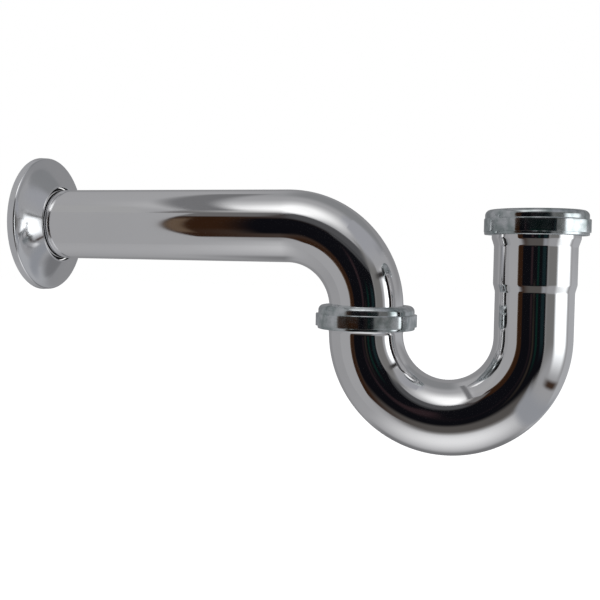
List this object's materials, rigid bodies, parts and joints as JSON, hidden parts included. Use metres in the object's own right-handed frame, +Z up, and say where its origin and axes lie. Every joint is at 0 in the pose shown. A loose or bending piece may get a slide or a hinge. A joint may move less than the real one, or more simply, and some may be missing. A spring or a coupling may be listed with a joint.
{
  "type": "p trap",
  "caption": "Tubular P trap: wall bend and J bend joined by a captive union nut, slip nut and washer at the inlet, round flange on the wall tube.",
  "frame": {"origin": "centre of the wall tube in the plane of the wall, which is the back face of the wall flange", "axes": "+X out of the wall along the wall tube, towards the inlet leg; +Z up, along both legs of the trap; +Y to the left of someone looking out of the wall"},
  "size_m": [0.2962, 0.074, 0.152],
  "materials": {
    "chrome_tube": "polished chrome plate on brass tube",
    "chrome_flange": "polished chrome plate on pressed steel",
    "plated_zinc": "chrome plated die-cast zinc, slightly cloudy",
    "rubber": "matte black rubber",
    "friction_ring": "matte fibre"
  },
  "bodies": {
    "wall_bend": {"wall_bend": "chrome_tube"},
    "union_ring": {"union_friction_ring": "friction_ring"},
    "union_nut": {"union_nut": "plated_zinc"},
    "j_bend": {"j_bend": "chrome_tube", "union_washer": "rubber", "inlet_washer": "rubber"},
    "inlet_ring": {"inlet_friction_ring": "friction_ring"},
    "inlet_nut": {"inlet_nut": "plated_zinc"},
    "wall_flange": {"wall_flange": "chrome_flange", "flange_grip_ring": "rubber"}
  },
  "joints": [
    {"name": "trap_swivel", "type": "hinge", "parent": "wall_bend", "child": "union_ring", "pos_m": [0.187, 0, -0.0444], "axis": [0, 0, 1], "range_deg": [-145, 145]},
    {"name": "union_nut_turn", "type": "hinge", "parent": "union_ring", "child": "union_nut", "pos_m": [0.187, 0, -0.0464], "axis": [0, 0, 1], "range_deg": [0, 720]},
    {"name": "trap_drop", "type": "slide", "parent": "union_ring", "child": "j_bend", "axis": [0, 0, -1], "range_m": [0, 0.00442]},
    {"name": "inlet_nut_rise", "type": "slide", "parent": "j_bend", "child": "inlet_ring", "axis": [0, 0, 1], "range_m": [0, 0.00442]},
    {"name": "inlet_nut_turn", "type": "hinge", "parent": "inlet_ring", "child": "inlet_nut", "pos_m": [0.2706, 0, 0.0025], "axis": [0, 0, 1], "range_deg": [0, 720]},
    {"name": "flange_slide", "type": "slide", "parent": "wall_bend", "child": "wall_flange", "axis": [1, 0, 0], "range_m": [0, 0.075]}
  ],
  "couplings": [
    {"joint": "union_nut_turn", "follows": "trap_drop", "rad_per_m": 2844.7},
    {"joint": "inlet_nut_turn", "follows": "inlet_nut_rise", "rad_per_m": 2844.7}
  ]
}
